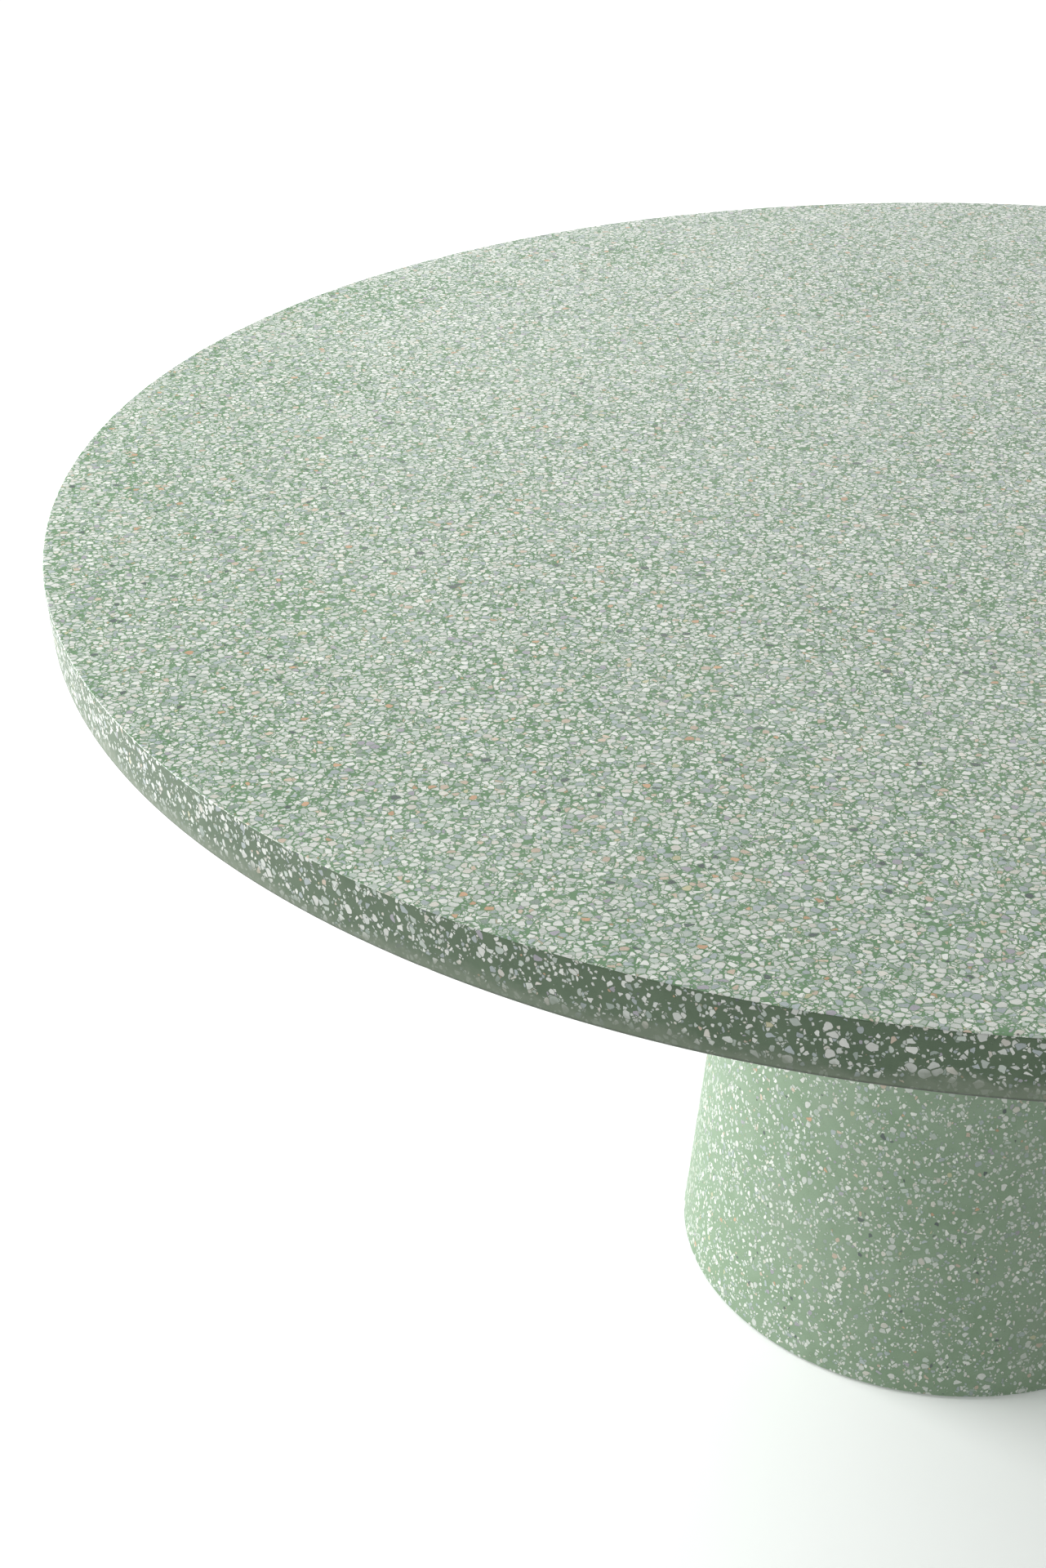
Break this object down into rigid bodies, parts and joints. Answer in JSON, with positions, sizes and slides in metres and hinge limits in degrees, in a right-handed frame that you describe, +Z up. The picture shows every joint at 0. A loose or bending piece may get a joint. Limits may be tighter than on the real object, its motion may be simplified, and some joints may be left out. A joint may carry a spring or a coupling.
{
  "type": "round pedestal table",
  "caption": "Round terrazzo table: a thick disc bolted through a steel plate to one hollow tapered pedestal that stands on hidden levelling feet.",
  "frame": {"origin": "on the floor under the middle of the table, at the soles of the levelling feet with all six screwed home", "axes": "+Z up, along the table's axis; +X through levelling foot 1"},
  "size_m": [1.4997, 1.4998, 0.76],
  "materials": {
    "top_terrazzo": "satin",
    "pedestal_terrazzo": "matte",
    "bare_steel": "matte",
    "zinc_steel": "satin",
    "foot_steel": "satin",
    "dark_steel": "satin",
    "coated_steel": "matte",
    "black_rubber": "matte",
    "foot_rubber": "matte"
  },
  "bodies": {
    "table": {"table_top": "top_terrazzo", "top_mesh": "bare_steel", "top_sockets": "zinc_steel", "bedding_pad": "black_rubber", "mounting_plate": "coated_steel", "top_washers": "zinc_steel", "top_bolts": "zinc_steel", "plate_screws": "dark_steel", "head_gasket": "black_rubber", "head_sockets": "zinc_steel", "pedestal": "pedestal_terrazzo", "pedestal_cage": "bare_steel", "foot_sockets": "zinc_steel"},
    "foot_1": {"foot_1_sole": "foot_rubber", "foot_1_pad": "foot_steel"},
    "foot_1_screw": {"foot_1_screw": "zinc_steel"},
    "foot_2": {"foot_2_sole": "foot_rubber", "foot_2_pad": "foot_steel"},
    "foot_2_screw": {"foot_2_screw": "zinc_steel"},
    "foot_3": {"foot_3_sole": "foot_rubber", "foot_3_pad": "foot_steel"},
    "foot_3_screw": {"foot_3_screw": "zinc_steel"},
    "foot_4": {"foot_4_sole": "foot_rubber", "foot_4_pad": "foot_steel"},
    "foot_4_screw": {"foot_4_screw": "zinc_steel"},
    "foot_5": {"foot_5_sole": "foot_rubber", "foot_5_pad": "foot_steel"},
    "foot_5_screw": {"foot_5_screw": "zinc_steel"},
    "foot_6": {"foot_6_sole": "foot_rubber", "foot_6_pad": "foot_steel"},
    "foot_6_screw": {"foot_6_screw": "zinc_steel"}
  },
  "joints": [
    {"name": "foot_1_extend", "type": "slide", "parent": "table", "child": "foot_1", "axis": [0, 0, -1], "range_m": [0, 0.012]},
    {"name": "foot_1_turn", "type": "hinge", "parent": "foot_1", "child": "foot_1_screw", "pos_m": [0.203, 0, 0.007], "axis": [0, 0, -1], "range_deg": [0, 2470]},
    {"name": "foot_2_extend", "type": "slide", "parent": "table", "child": "foot_2", "axis": [0, 0, -1], "range_m": [0, 0.012]},
    {"name": "foot_2_turn", "type": "hinge", "parent": "foot_2", "child": "foot_2_screw", "pos_m": [0.1015, 0.1758, 0.007], "axis": [0, 0, -1], "range_deg": [0, 2470]},
    {"name": "foot_3_extend", "type": "slide", "parent": "table", "child": "foot_3", "axis": [0, 0, -1], "range_m": [0, 0.012]},
    {"name": "foot_3_turn", "type": "hinge", "parent": "foot_3", "child": "foot_3_screw", "pos_m": [-0.1015, 0.1758, 0.007], "axis": [0, 0, -1], "range_deg": [0, 2470]},
    {"name": "foot_4_extend", "type": "slide", "parent": "table", "child": "foot_4", "axis": [0, 0, -1], "range_m": [0, 0.012]},
    {"name": "foot_4_turn", "type": "hinge", "parent": "foot_4", "child": "foot_4_screw", "pos_m": [-0.203, 0, 0.007], "axis": [0, 0, -1], "range_deg": [0, 2470]},
    {"name": "foot_5_extend", "type": "slide", "parent": "table", "child": "foot_5", "axis": [0, 0, -1], "range_m": [0, 0.012]},
    {"name": "foot_5_turn", "type": "hinge", "parent": "foot_5", "child": "foot_5_screw", "pos_m": [-0.1015, -0.1758, 0.007], "axis": [0, 0, -1], "range_deg": [0, 2470]},
    {"name": "foot_6_extend", "type": "slide", "parent": "table", "child": "foot_6", "axis": [0, 0, -1], "range_m": [0, 0.012]},
    {"name": "foot_6_turn", "type": "hinge", "parent": "foot_6", "child": "foot_6_screw", "pos_m": [0.1015, -0.1758, 0.007], "axis": [0, 0, -1], "range_deg": [0, 2470]}
  ],
  "couplings": [
    {"joint": "foot_1_turn", "follows": "foot_1_extend", "rad_per_m": 3590.4},
    {"joint": "foot_2_turn", "follows": "foot_2_extend", "rad_per_m": 3590.4},
    {"joint": "foot_3_turn", "follows": "foot_3_extend", "rad_per_m": 3590.4},
    {"joint": "foot_4_turn", "follows": "foot_4_extend", "rad_per_m": 3590.4},
    {"joint": "foot_5_turn", "follows": "foot_5_extend", "rad_per_m": 3590.4},
    {"joint": "foot_6_turn", "follows": "foot_6_extend", "rad_per_m": 3590.4}
  ]
}
